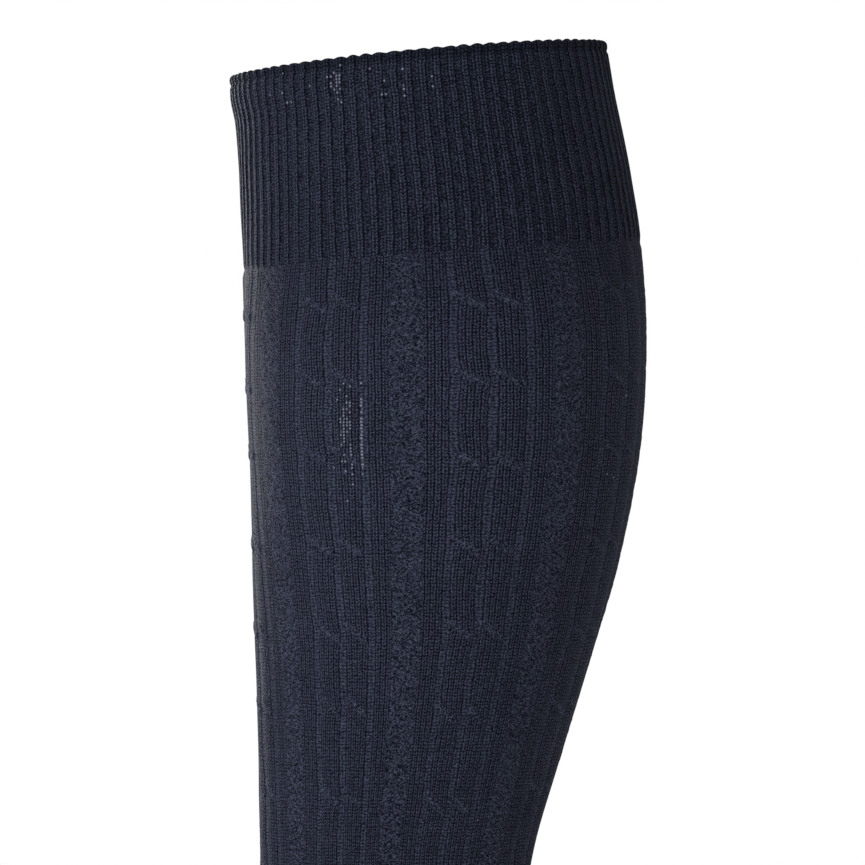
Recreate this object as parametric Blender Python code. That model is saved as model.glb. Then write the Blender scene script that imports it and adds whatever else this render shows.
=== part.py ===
"""A knee-high winter sock in its worn form: ribbed cuff, cabled leg, heel pocket, foot and toe.

Lengths are in metres and +Z is up. The origin is the middle of the opening at the cuff's rim. The toes
point along -X, and the calf swells towards +X. Every piece is a knitted wall with an outer and an
inner face, and the pieces meet edge to edge.
"""

from collections import namedtuple
from math import asin, cos, hypot, pi, sin

import bmesh
import bpy
from mathutils import Vector

# Heights
CUFF_HEIGHT = 0.0570
LEG_HEIGHT = 0.2820
ANKLE_HEIGHT = 0.0570
INSTEP_HEIGHT = 0.0930
RIM_RISE = 0.0093
HEEL_LIFT = 0.0060

# Reaches from the leg's upright line, forward to the shin and back to the calf
SHIN_REACH = 0.0548
ANKLE_FRONT = 0.0458
CALF_REACH = 0.0656
ACHILLES_REACH = 0.0272
TURN_FORWARD = 0.0080
HEEL_REACH = 0.0505

# Widths from side to side
CALF_WIDTH = 0.1096
ANKLE_WIDTH = 0.0576
FOOT_WIDTH = 0.0836

# Foot
FOOT_LENGTH = 0.2410
TOE_LENGTH = 0.0470
TOE_TIP_HEIGHT = 0.0140
SOLE_PRESS = 0.0055

# Knit
WALL = 0.0017
GAP = 0.0003
RIB_COUNT = 84
RIB_DEPTH = 0.0007
WELT_HEIGHT = 0.0024
WELT_ROUND = 0.0006
WELT_GROOVE = 0.0003
SCALLOP = 0.0004
REPEAT_COUNT = 7
LINE_DEPTH = 0.00025
CHANNEL_DEPTH = 0.0008
PURL_DEPTH = 0.0006
CROSSING_DIP = 0.0005
BAND_EDGE_WALES = 0.6
PANEL_TWIST = 0.25
PANEL_PHASE = -0.33

# Facets
CUFF_INNER_COLUMNS = 42
CUFF_PLAIN_ROWS = 5
LEG_INNER_ROWS = 9
LEG_COLUMNS_PER_INNER = 3
FOOT_COLUMNS = 36
TOE_ROWS = 6
HEEL_CORNER = 0.0015

# Roundness of a section: 2 is an ellipse, more is squarer
LEG_ROUNDNESS = 2.0
FOOT_ROUNDNESS = 2.35
TOE_ROUNDNESS = 2.3

TURN_X = -TURN_FORWARD
TURN_Z = -(CUFF_HEIGHT + LEG_HEIGHT)
SOLE_Z = TURN_Z - ANKLE_HEIGHT
TOE_TIP_X = TURN_X + HEEL_REACH - FOOT_LENGTH
TOE_START_X = TOE_TIP_X + TOE_LENGTH
CUFF_COLUMNS = 2 * RIB_COUNT

# A section's front, middle and back points lie in the XZ plane. On the foot, front is the instep and
# back is the sole.
Section = namedtuple("Section", "front middle back half_width roundness")

# Down the cuff as a share of its height. Shin and calf are shares of the way out from the ankle's reach
# to the full reach, side is the same for the width, and tilt is a share of half the rim's rise.
LegRow = namedtuple("LegRow", "down shin calf side tilt bend")

CUFF_ROWS = [
    LegRow(down=0.00, shin=1.00, calf=0.72, side=0.96, tilt=1.00, bend=0),
    LegRow(down=0.30, shin=0.88, calf=0.79, side=0.98, tilt=0.97, bend=0),
    LegRow(down=0.67, shin=0.71, calf=0.89, side=0.99, tilt=0.90, bend=0),
]

# Down the leg as a share of its height. Bend is a share of how far the section's front stands above
# its middle where the ankle turns.
LEG_ROWS = [
    LegRow(down=0.000, shin=0.61, calf=0.96, side=1.00, tilt=0.84, bend=0.00),
    LegRow(down=0.075, shin=0.56, calf=1.00, side=1.00, tilt=0.54, bend=0.00),
    LegRow(down=0.145, shin=0.49, calf=0.99, side=0.98, tilt=0.17, bend=0.00),
    LegRow(down=0.220, shin=0.39, calf=0.93, side=0.90, tilt=0.00, bend=0.00),
    LegRow(down=0.291, shin=0.32, calf=0.83, side=0.79, tilt=0.00, bend=0.00),
    LegRow(down=0.364, shin=0.26, calf=0.69, side=0.65, tilt=0.00, bend=0.00),
    LegRow(down=0.436, shin=0.20, calf=0.53, side=0.50, tilt=0.00, bend=0.00),
    LegRow(down=0.507, shin=0.13, calf=0.37, side=0.35, tilt=0.00, bend=0.00),
    LegRow(down=0.578, shin=0.10, calf=0.21, side=0.21, tilt=0.00, bend=0.00),
    LegRow(down=0.624, shin=0.07, calf=0.13, side=0.13, tilt=0.00, bend=0.01),
    LegRow(down=0.702, shin=0.02, calf=0.04, side=0.05, tilt=0.00, bend=0.06),
    LegRow(down=0.790, shin=0.00, calf=0.00, side=0.00, tilt=0.00, bend=0.16),
    LegRow(down=0.862, shin=0.08, calf=0.01, side=0.01, tilt=0.00, bend=0.36),
    LegRow(down=0.932, shin=0.27, calf=0.04, side=0.02, tilt=0.00, bend=0.66),
    LegRow(down=1.000, shin=0.62, calf=0.10, side=0.03, tilt=0.00, bend=1.00),
]

# Round the heel from the leg's back to the sole, behind the ankle's turning point as a share of the
# heel's reach and below it as a share of the ankle's height.
HeelRow = namedtuple("HeelRow", "behind below")
HEEL_ROWS = [
    HeelRow(behind=0.895, below=0.13),
    HeelRow(behind=0.975, below=0.36),
    HeelRow(behind=1.000, below=0.60),
    HeelRow(behind=0.950, below=0.81),
    HeelRow(behind=0.800, below=0.98),
    HeelRow(behind=0.550, below=1.07),
    HeelRow(behind=0.270, below=1.09),
]

# Along the foot as a share of the stretch from the ankle's turn to the toe. Top and middle are heights
# above the sole as shares of the instep's, lean is how far the top runs ahead of the middle as a share
# of its lead at the ankle, and side goes from the ankle's width to the foot's.
FootRow = namedtuple("FootRow", "along top middle lean side")
FOOT_ROWS = [
    FootRow(along=0.20, top=0.885, middle=0.52, lean=0.70, side=0.18),
    FootRow(along=0.39, top=0.755, middle=0.45, lean=0.48, side=0.38),
    FootRow(along=0.57, top=0.630, middle=0.38, lean=0.32, side=0.60),
    FootRow(along=0.74, top=0.525, middle=0.32, lean=0.18, side=0.85),
    FootRow(along=0.88, top=0.450, middle=0.27, lean=0.08, side=0.98),
    FootRow(along=1.00, top=0.395, middle=0.23, lean=0.00, side=1.00),
]

# Across one repeat of the leg's pattern, from the left edge of the moss band. Sunk bands are the lines
# of purl between the raised ones, and a crossed band dips at its right edge where its strands cross. A
# line of purl is one wale that spreads, and takes half a wale's width from its neighbours.
Band = namedtuple("Band", "name wales sunk crossed")
BANDS = [
    Band("moss", 6, 0, False),
    Band("stripe", 3, 0, False),
    Band("channel", 1.5, CHANNEL_DEPTH, False),
    Band("cable", 4, 0, True),
    Band("purl", 1.5, PURL_DEPTH, False),
    Band("cable", 4, 0, True),
    Band("channel", 1.5, CHANNEL_DEPTH, False),
    Band("stripe", 2.5, 0, False),
]

# Where the cables cross, down the leg as shares of its height.
CROSSINGS = [0.048, 0.125, 0.206, 0.297, 0.385, 0.467, 0.559, 0.649, 0.738, 0.826]


def mix(start, end, share):
    return start + (end - start) * share


def curve_value(knots, at):
    """The value at a place on a smooth curve through (place, value) knots."""
    places = [place for place, _ in knots]
    values = [value for _, value in knots]
    last = len(knots) - 1
    i = 0
    while i < last - 1 and at > places[i + 1]:
        i += 1

    def slope(k):
        low, high = max(k - 1, 0), min(k + 1, last)
        return (values[high] - values[low]) / (places[high] - places[low])

    span = places[i + 1] - places[i]
    t = (at - places[i]) / span
    rise = values[i + 1] - values[i]
    start, end = slope(i) * span, slope(i + 1) * span
    return values[i] + t * start + t * t * (3 * rise - 2 * start - end) + t**3 * (start + end - 2 * rise)


def leg_knots():
    """The cuff's and leg's rows as (distance down, row)."""
    cuff = [(row.down * CUFF_HEIGHT, row) for row in CUFF_ROWS]
    return cuff + [(CUFF_HEIGHT + row.down * LEG_HEIGHT, row) for row in LEG_ROWS]


def leg_section(down):
    """The section of the cuff or leg at a distance below the rim's middle."""
    knots = leg_knots()

    def share(column):
        return curve_value([(place, getattr(row, column)) for place, row in knots], down)

    front_x = -mix(ANKLE_FRONT, SHIN_REACH, share("shin"))
    back_x = mix(ACHILLES_REACH, CALF_REACH, share("calf"))
    bend = share("bend")
    turned = max(bend, 0)
    tilt = share("tilt") * RIM_RISE / 2
    instep_lift = INSTEP_HEIGHT - ANKLE_HEIGHT
    return Section(
        front=Vector((front_x, 0, -down - tilt + bend * instep_lift)),
        middle=Vector((mix((front_x + back_x) / 2, TURN_X, turned), 0, -down)),
        back=Vector((back_x, 0, -down + tilt + bend * HEEL_LIFT)),
        half_width=mix(ANKLE_WIDTH, CALF_WIDTH, share("side")) / 2,
        roundness=mix(LEG_ROUNDNESS, FOOT_ROUNDNESS, turned),
    )


def turn_section():
    """The section where the leg ends, with its middle on the ankle's turning point."""
    return leg_section(CUFF_HEIGHT + LEG_HEIGHT)


def heel_sections():
    """Half sections that fan round the heel, all from one middle point."""
    turn = turn_section()
    middle = Vector((TURN_X + GAP, 0, TURN_Z))
    backs = [turn.back + Vector((GAP, 0, 0))]
    for row in HEEL_ROWS:
        backs.append(middle + Vector((row.behind * HEEL_REACH - GAP, 0, -row.below * ANKLE_HEIGHT)))
    backs.append(middle - Vector((0, 0, ANKLE_HEIGHT + SOLE_PRESS)))
    return [turn._replace(middle=middle, back=back, roundness=FOOT_ROUNDNESS) for back in backs]


def foot_sections():
    """Sections from the ankle's turn to the start of the toe."""
    turn = turn_section()
    lead = TURN_X - turn.front.x
    under = SOLE_Z - SOLE_PRESS
    first = turn._replace(back=Vector((TURN_X, 0, under)), roundness=FOOT_ROUNDNESS)
    sections = [first]
    for row in FOOT_ROWS:
        x = mix(TURN_X, TOE_START_X, row.along)
        top = Vector((x - row.lean * lead, 0, SOLE_Z + row.top * INSTEP_HEIGHT))
        middle = Vector((x, 0, SOLE_Z + row.middle * INSTEP_HEIGHT))
        half_width = mix(turn.half_width, FOOT_WIDTH / 2, row.side)
        sections.append(Section(top, middle, Vector((x, 0, under)), half_width, FOOT_ROUNDNESS))
    return sections


def toe_section(share, inset):
    """The toe's section at a share of its length, for a face that lies inset from the outer one."""
    start = foot_sections()[-1]
    shrink = (1 - share**TOE_ROUNDNESS) ** (1 / TOE_ROUNDNESS)
    x = mix(TOE_START_X - GAP, TOE_TIP_X + inset, share)
    tip_z = SOLE_Z + TOE_TIP_HEIGHT

    def drawn_in(point):
        return Vector((x, 0, mix(tip_z, point.z, shrink)))

    return Section(
        front=drawn_in(start.front),
        middle=drawn_in(start.middle),
        back=drawn_in(start.back),
        half_width=start.half_width * shrink,
        roundness=start.roundness,
    )


def section_point(section, angle, inset):
    """A point on a section, at an angle from the -Y side towards the back, inset from the outer face."""
    across = abs(sin(angle)) ** (2 / section.roundness)
    sideways = abs(cos(angle)) ** (2 / section.roundness)
    reach = (section.back if sin(angle) > 0 else section.front) - section.middle
    inwards = max(1 - inset / reach.length, 0)
    point = section.middle + reach * (across * inwards)
    half_width = max(section.half_width - inset, 0)
    point.y = half_width * (sideways if cos(angle) < 0 else -sideways)
    point.z = max(point.z, SOLE_Z + inset)
    return point


def even_angle(turn_share, section):
    """The angle at which a share of the girth has been passed, so that wales stay evenly spaced."""
    angle = 2 * pi * turn_share
    depth = (section.back - section.front).length / 2
    uneven = (depth - section.half_width) / (depth + section.half_width)
    return angle - uneven / 2 * sin(2 * angle)


def add_grid(mesh, rows, closed, outwards):
    """Adds rows of points as a grid of faces, and returns the rows of vertices."""
    grid = [[mesh.verts.new(point) for point in row] for row in rows]
    for upper, lower in zip(grid, grid[1:]):
        for i in range(len(upper) if closed else len(upper) - 1):
            j = (i + 1) % len(upper)
            face = [upper[i], lower[i], lower[j], upper[j]]
            mesh.faces.new(face if outwards else face[::-1])
    return grid


def join_edges(mesh, outer, inner, closed, at_top):
    """Closes the wall's edge between a row of the outer face and one of the inner, which may be coarser."""
    inner_edges = len(inner) if closed else len(inner) - 1
    outer_edges = len(outer) if closed else len(outer) - 1
    for k in range(inner_edges):
        first = k * outer_edges // inner_edges
        last = (k + 1) * outer_edges // inner_edges
        along = [outer[i % len(outer)] for i in range(first, last + 1)]
        face = along + [inner[(k + 1) % len(inner)], inner[k]]
        mesh.faces.new(face if at_top else face[::-1])


def close_tip(mesh, row, point, outwards):
    """Closes the end of a tube with a fan round one point."""
    tip = mesh.verts.new(point)
    for i, vertex in enumerate(row):
        face = [vertex, tip, row[(i + 1) % len(row)]]
        mesh.faces.new(face if outwards else face[::-1])


def knit_material(name, colour, roughness):
    material = bpy.data.materials.new(name)
    material.use_nodes = True
    shader = material.node_tree.nodes["Principled BSDF"]
    shader.inputs["Base Color"].default_value = (*colour, 1)
    shader.inputs["Roughness"].default_value = roughness
    shader.inputs["Metallic"].default_value = 0
    return material


def finish_piece(name, mesh, colour, roughness=0.9):
    """Makes one object from a finished wall."""
    bmesh.ops.triangulate(mesh, faces=[face for face in mesh.faces if len(face.verts) > 4])
    data = bpy.data.meshes.new(name)
    mesh.to_mesh(data)
    mesh.free()
    data.materials.append(knit_material(name, colour, roughness))
    piece = bpy.data.objects.new(name, data)
    bpy.context.scene.collection.objects.link(piece)
    return piece


def make_tube(name, outer_rows, inner_rows, colour):
    """A knitted tube, open at both ends."""
    mesh = bmesh.new()
    outer = add_grid(mesh, outer_rows, closed=True, outwards=True)
    inner = add_grid(mesh, inner_rows, closed=True, outwards=False)
    join_edges(mesh, outer[0], inner[0], closed=True, at_top=True)
    join_edges(mesh, outer[-1], inner[-1], closed=True, at_top=False)
    return finish_piece(name, mesh, colour)


def cuff_row(down, inset, scalloped=False):
    """One row of the cuff's outer face, with a ridge and a valley for each rib."""
    section = leg_section(down)
    row = []
    for k in range(CUFF_COLUMNS):
        valley = k % 2
        angle = even_angle(k / CUFF_COLUMNS, section)
        point = section_point(section, angle, inset + valley * RIB_DEPTH)
        if scalloped:
            point.z += -SCALLOP if valley else SCALLOP
        row.append(point)
    return row


def make_cuff():
    end = CUFF_HEIGHT - GAP
    outer = [
        cuff_row(0, WELT_ROUND, scalloped=True),
        cuff_row(WELT_HEIGHT / 3, 0),
        cuff_row(WELT_HEIGHT, WELT_GROOVE),
    ]
    for i in range(1, CUFF_PLAIN_ROWS + 1):
        outer.append(cuff_row(mix(WELT_HEIGHT, end, i / CUFF_PLAIN_ROWS), 0))
    columns = [k * CUFF_COLUMNS // CUFF_INNER_COLUMNS for k in range(CUFF_INNER_COLUMNS)]
    shares = [column / CUFF_COLUMNS for column in columns]
    inner = []
    for i in range(CUFF_PLAIN_ROWS):
        section = leg_section(mix(0, end, i / (CUFF_PLAIN_ROWS - 1)))
        inner.append([section_point(section, even_angle(share, section), WALL) for share in shares])
    return make_tube("cuff", outer, inner, (0.016, 0.019, 0.032))


def panel_columns():
    """The leg's columns as (share of the girth, depth, depth where the cables cross)."""
    repeat_wales = sum(band.wales for band in BANDS)
    columns = []
    for repeat in range(REPEAT_COUNT):
        wale = repeat * repeat_wales
        before = BANDS[-1]
        for band in BANDS:
            if band.sunk:
                columns.append((wale + band.wales / 2, band.sunk, band.sunk))
            else:
                if not before.sunk:
                    columns.append((wale, LINE_DEPTH, LINE_DEPTH))
                columns.append((wale + BAND_EDGE_WALES, 0, 0))
                dip = CROSSING_DIP if band.crossed else 0
                columns.append((wale + band.wales - BAND_EDGE_WALES, 0, dip))
            wale += band.wales
            before = band
    all_wales = REPEAT_COUNT * repeat_wales
    return [(wale / all_wales, depth, crossed) for wale, depth, crossed in columns]


def leg_row(down, share_and_depth):
    """A row of the leg. The pattern turns a little on the way down."""
    section = leg_section(down)
    twist = PANEL_TWIST * (down - CUFF_HEIGHT) / LEG_HEIGHT + PANEL_PHASE
    turned = [(share + twist / (2 * pi), depth) for share, depth in share_and_depth]
    return [section_point(section, even_angle(share, section), depth) for share, depth in turned]


def make_leg():
    turn = turn_section()
    lead = turn.middle - turn.front
    end = CUFF_HEIGHT + LEG_HEIGHT - GAP * hypot(lead.x, lead.z) / lead.x
    places = [(CUFF_HEIGHT, False)]
    for i, share in enumerate(CROSSINGS):
        crossing = CUFF_HEIGHT + share * LEG_HEIGHT
        following = CROSSINGS[i + 1] if i + 1 < len(CROSSINGS) else mix(share, 1, 0.5)
        places.append((crossing, True))
        places.append((CUFF_HEIGHT + mix(share, following, 0.5) * LEG_HEIGHT, False))
    places.append((end, False))
    columns = panel_columns()
    outer = []
    for down, crossing in places:
        depths = [(share, crossed if crossing else depth) for share, depth, crossed in columns]
        outer.append(leg_row(down, depths))
    coarse = [(share, WALL) for share, _, _ in columns[::LEG_COLUMNS_PER_INNER]]
    inner = []
    for i in range(LEG_INNER_ROWS):
        inner.append(leg_row(mix(CUFF_HEIGHT, end, i / (LEG_INNER_ROWS - 1)), coarse))
    return make_tube("leg", outer, inner, (0.020, 0.023, 0.037))


def make_heel():
    sections = heel_sections()
    corner = asin(HEEL_CORNER / sections[0].half_width)
    half = FOOT_COLUMNS // 2
    angles = [corner] + [pi * k / half for k in range(1, half)] + [pi - corner]
    mesh = bmesh.new()
    outer_rows = [[section_point(s, angle, 0) for angle in angles] for s in sections]
    inner_rows = [[section_point(s, angle, WALL) for angle in angles] for s in sections]
    outer = add_grid(mesh, outer_rows, closed=False, outwards=True)
    inner = add_grid(mesh, inner_rows, closed=False, outwards=False)
    join_edges(mesh, outer[0], inner[0], closed=False, at_top=True)
    join_edges(mesh, outer[-1], inner[-1], closed=False, at_top=False)
    for side, at_top in ((0, False), (-1, True)):
        join_edges(mesh, [row[side] for row in outer], [row[side] for row in inner], False, at_top)
    return finish_piece("heel", mesh, (0.017, 0.020, 0.033))


def foot_row(section, inset):
    angles = [2 * pi * k / FOOT_COLUMNS for k in range(FOOT_COLUMNS)]
    return [section_point(section, angle, inset) for angle in angles]


def make_foot():
    sections = foot_sections()
    outer = [foot_row(section, 0) for section in sections]
    inner = [foot_row(section, WALL) for section in sections]
    return make_tube("foot", outer, inner, (0.018, 0.021, 0.034))


def toe_rows(inset):
    """Rows that close in on the tip, spaced by angle so that the end is round."""
    rows = []
    for i in range(TOE_ROWS):
        share = sin(pi / 2 * i / TOE_ROWS)
        rows.append(foot_row(toe_section(share, inset), inset))
    return rows


def make_toe():
    mesh = bmesh.new()
    outer = add_grid(mesh, toe_rows(0), closed=True, outwards=True)
    inner = add_grid(mesh, toe_rows(WALL), closed=True, outwards=False)
    join_edges(mesh, outer[0], inner[0], closed=True, at_top=True)
    tip = Vector((TOE_TIP_X, 0, SOLE_Z + TOE_TIP_HEIGHT))
    close_tip(mesh, outer[-1], tip, outwards=True)
    close_tip(mesh, inner[-1], tip + Vector((WALL, 0, 0)), outwards=False)
    return finish_piece("toe", mesh, (0.017, 0.020, 0.033))


def main():
    for thing in list(bpy.data.objects):
        bpy.data.objects.remove(thing)
    make_cuff()
    make_leg()
    make_heel()
    make_foot()
    make_toe()


main()
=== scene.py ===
"""The looks of a knee-high winter sock: its knitted relief, materials, light and camera.

Lengths are in metres. A place on the knit is a row of stitches (a course) and a column of stitches (a
wale). Each piece of the frame is replaced by a finer closed wall of the same form.
"""

from collections import namedtuple
from math import pi

import bpy
import numpy as np
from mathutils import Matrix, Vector


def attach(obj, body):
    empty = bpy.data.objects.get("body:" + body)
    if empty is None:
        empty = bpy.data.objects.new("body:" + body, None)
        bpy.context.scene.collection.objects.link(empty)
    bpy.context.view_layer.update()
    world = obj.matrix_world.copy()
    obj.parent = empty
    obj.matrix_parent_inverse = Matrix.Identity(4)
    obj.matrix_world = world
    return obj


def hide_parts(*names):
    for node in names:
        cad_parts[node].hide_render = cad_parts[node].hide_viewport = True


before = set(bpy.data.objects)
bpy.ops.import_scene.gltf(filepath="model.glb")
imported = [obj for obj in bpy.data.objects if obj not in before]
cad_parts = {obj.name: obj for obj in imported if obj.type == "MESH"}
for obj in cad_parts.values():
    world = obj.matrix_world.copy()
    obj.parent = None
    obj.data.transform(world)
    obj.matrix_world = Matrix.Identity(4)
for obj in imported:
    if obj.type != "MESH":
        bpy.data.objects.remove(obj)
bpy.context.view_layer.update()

# Heights
CUFF_HEIGHT = 0.0570
LEG_HEIGHT = 0.2820
ANKLE_HEIGHT = 0.0570
INSTEP_HEIGHT = 0.0930
RIM_RISE = 0.0102
HEEL_LIFT = 0.0060

# Reaches from the leg's upright line, forward to the shin and back to the calf
SHIN_REACH = 0.0548
ANKLE_FRONT = 0.0458
CALF_REACH = 0.0656
ACHILLES_REACH = 0.0272
TURN_FORWARD = 0.0080
HEEL_REACH = 0.0505

# Widths from side to side
CALF_WIDTH = 0.1096
ANKLE_WIDTH = 0.0576
FOOT_WIDTH = 0.0836

# Foot
FOOT_LENGTH = 0.2410
TOE_LENGTH = 0.0470
TOE_TIP_HEIGHT = 0.0140
SOLE_PRESS = 0.0055

# Knit
WALL = 0.0017
TIP_WALL = 1.5 * WALL
COURSE = 0.00094
WALES = 168
REPEATS = 7
RIB_DEPTH = 0.00052
RIB_EDGE_SHARPNESS = 2.0
RIB_WIDENING = 0.25
PURL_START = -0.25
PURL_FULL = 0.45
CHANNEL_DEPTH = 0.00022
WALE_ROUND = 0.00011
MOSS_HEIGHT = 0.00012
MOSS_INSET = 0.45
BAND_EDGE = 0.28
SLACK = 0.00016
TOP_DIM = 0.45
TOP_DIM_REACH = 0.040

# Cables. Widths across them are in wales.
CABLE_CROWN = 0.00022
STEP_FALL = 0.0036
STEP_HALF = 0.0011
STEP_RISE = 0.00028
STEP_MARGIN = 0.9
STEP_EDGE = 0.4
DIP_DROP = 1.4
DIP_HALF = 0.5
DIP_SHARE = 0.7
SWAY = 0.45
SWAY_MARGIN = 1.2
SWAY_EDGE = 1.0
STRAND_LEAN = 0.5
CROSSING_SHIFT = 0.0007
PLACES_BELOW_LEG = [0.40, 0.42]

# Seams between the pieces
SEAM_DEPTH = 0.00030
SEAM_WIDTH = 0.0011
SEAM_FLATNESS = 0.75

# Rolled rim
RIM_RADIUS = 0.0010
RIM_BULGE = 0.0001
RIM_ROWS = 9
ROLL_AT_EDGE = 0.35
ROLL_FLATNESS = 0.3
ROLL_RIBBED = 0.75
SCALLOP = 0.00022
WELT_HEIGHT = 0.0026
WELT_GROOVE = 0.00035
WELT_GROOVE_REACH = 0.0006
WELT_PURL_LOSS = 0.6
WELT_DIM_START = 0.8
WELT_DIM_END = 1.3

# Mesh
COLUMNS_PER_WALE = 5
INNER_STEP = 5
CUFF_INNER_ROWS = 13
LEG_INNER_ROWS = 24
LEG_PIECES = ("upper_leg", "middle_leg", "lower_leg")
FOOT_COLUMNS = 336
FOOT_INNER_COLUMNS = FOOT_COLUMNS // 4
FOOT_ROW = 0.00100
FOOT_INNER_ROWS = 24
TOE_ROWS = 56
TOE_INNER_ROWS = 12
HEEL_FAN_ROWS = 110
HEEL_INNER_ROWS = HEEL_FAN_ROWS // 5 + 1
HEEL_COLUMNS = WALES + 1
HEEL_INNER_COLUMNS = WALES // 4 + 1
HEEL_CORNER = 0.00002
TRIAL_ANGLES = 721

# Texture space: the outer face takes most of the height and the inner face the rest
OUTER_STRIP = (0.15, 1.0)
INNER_STRIP = (0.0, 0.14)
INNER_PURL = 0.25

# Roundness of a section: 2 is an ellipse, more is squarer
LEG_ROUNDNESS = 2.0
FOOT_ROUNDNESS = 2.35
TOE_ROUNDNESS = 2.3

# Camera, level with the calf, and the surround
CAMERA_DISTANCE = 1.8
FRAME_WIDTH = 0.2509
SENSOR_WIDTH = 36
FRAME_MIDDLE_X = 0.0036
FRAME_MIDDLE_Z = -0.1080
LAMP_TARGET = (0, 0, -0.12)
FLOOR_RADIUS = 1.2
FLOOR_GAP = 0.0002

TURN_X = -TURN_FORWARD
TURN_Z = -(CUFF_HEIGHT + LEG_HEIGHT)
SOLE_Z = TURN_Z - ANKLE_HEIGHT
TOE_TIP_X = TURN_X + HEEL_REACH - FOOT_LENGTH
TOE_START_X = TOE_TIP_X + TOE_LENGTH
FOOT_TUBE = TURN_X - TOE_START_X

# Rows of the form, as shares of the sizes above
LegRow = namedtuple("LegRow", "down shin calf side tilt bend")
CUFF_ROWS = [
    LegRow(down=0.00, shin=1.04, calf=0.70, side=0.96, tilt=1.00, bend=0),
    LegRow(down=0.12, shin=1.02, calf=0.73, side=0.97, tilt=0.99, bend=0),
    LegRow(down=0.24, shin=0.88, calf=0.76, side=0.97, tilt=0.98, bend=0),
    LegRow(down=0.45, shin=0.78, calf=0.82, side=0.98, tilt=0.95, bend=0),
    LegRow(down=0.67, shin=0.71, calf=0.89, side=0.99, tilt=0.90, bend=0),
]
LEG_ROWS = [
    LegRow(down=0.000, shin=0.61, calf=0.96, side=1.00, tilt=0.84, bend=0.00),
    LegRow(down=0.075, shin=0.56, calf=1.00, side=1.00, tilt=0.54, bend=0.00),
    LegRow(down=0.145, shin=0.49, calf=0.99, side=0.98, tilt=0.17, bend=0.00),
    LegRow(down=0.220, shin=0.39, calf=0.93, side=0.90, tilt=0.00, bend=0.00),
    LegRow(down=0.291, shin=0.32, calf=0.83, side=0.79, tilt=0.00, bend=0.00),
    LegRow(down=0.364, shin=0.26, calf=0.69, side=0.65, tilt=0.00, bend=0.00),
    LegRow(down=0.436, shin=0.20, calf=0.53, side=0.50, tilt=0.00, bend=0.00),
    LegRow(down=0.507, shin=0.13, calf=0.37, side=0.35, tilt=0.00, bend=0.00),
    LegRow(down=0.578, shin=0.10, calf=0.21, side=0.21, tilt=0.00, bend=0.00),
    LegRow(down=0.624, shin=0.07, calf=0.13, side=0.13, tilt=0.00, bend=0.01),
    LegRow(down=0.702, shin=0.02, calf=0.04, side=0.05, tilt=0.00, bend=0.06),
    LegRow(down=0.790, shin=0.00, calf=0.00, side=0.00, tilt=0.00, bend=0.16),
    LegRow(down=0.862, shin=0.08, calf=0.01, side=0.01, tilt=0.00, bend=0.36),
    LegRow(down=0.932, shin=0.27, calf=0.04, side=0.02, tilt=0.00, bend=0.66),
    LegRow(down=1.000, shin=0.62, calf=0.10, side=0.03, tilt=0.00, bend=1.00),
]
HeelRow = namedtuple("HeelRow", "behind below")
HEEL_ROWS = [
    HeelRow(behind=0.895, below=0.13),
    HeelRow(behind=0.975, below=0.36),
    HeelRow(behind=1.000, below=0.60),
    HeelRow(behind=0.950, below=0.81),
    HeelRow(behind=0.800, below=0.98),
    HeelRow(behind=0.550, below=1.07),
    HeelRow(behind=0.270, below=1.09),
]
FootRow = namedtuple("FootRow", "along top middle lean side")
FOOT_ROWS = [
    FootRow(along=0.20, top=0.885, middle=0.52, lean=0.70, side=0.18),
    FootRow(along=0.39, top=0.755, middle=0.45, lean=0.48, side=0.38),
    FootRow(along=0.57, top=0.630, middle=0.38, lean=0.32, side=0.60),
    FootRow(along=0.74, top=0.525, middle=0.32, lean=0.18, side=0.85),
    FootRow(along=0.88, top=0.450, middle=0.27, lean=0.08, side=0.98),
    FootRow(along=1.00, top=0.395, middle=0.23, lean=0.00, side=1.00),
]

# Below the roll, as shares of the welt's height, the rim's bulge and the welt's groove
WeltRow = namedtuple("WeltRow", "down bulge groove roll")
WELT_ROWS = [
    WeltRow(down=0.558, bulge=0.6, groove=0.0, roll=0.3),
    WeltRow(down=0.712, bulge=0.0, groove=0.0, roll=0.2),
    WeltRow(down=0.846, bulge=0.0, groove=0.6, roll=0.1),
]

# Across one repeat of the leg's pattern: each band's width in wales, and how many stitch columns show in it
Band = namedtuple("Band", "name width shown")
BANDS = [
    Band("moss", 6, 6.5),
    Band("stripe", 3, 3),
    Band("purl", 1.5, 1),
    Band("cable", 4, 4),
    Band("purl", 1.5, 1),
    Band("cable", 4, 4),
    Band("purl", 1.5, 1),
    Band("stripe", 2.5, 2.5),
]
BAND_PLACES = np.cumsum([0] + [band.width for band in BANDS])
FIRST_SHOWN = 0.5
SHOWN_PLACES = FIRST_SHOWN + np.cumsum([0] + [band.shown for band in BANDS])
SHOWN_IN_REPEAT = SHOWN_PLACES[-1] - SHOWN_PLACES[0]
REPEAT_PHASE = -0.326

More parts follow.
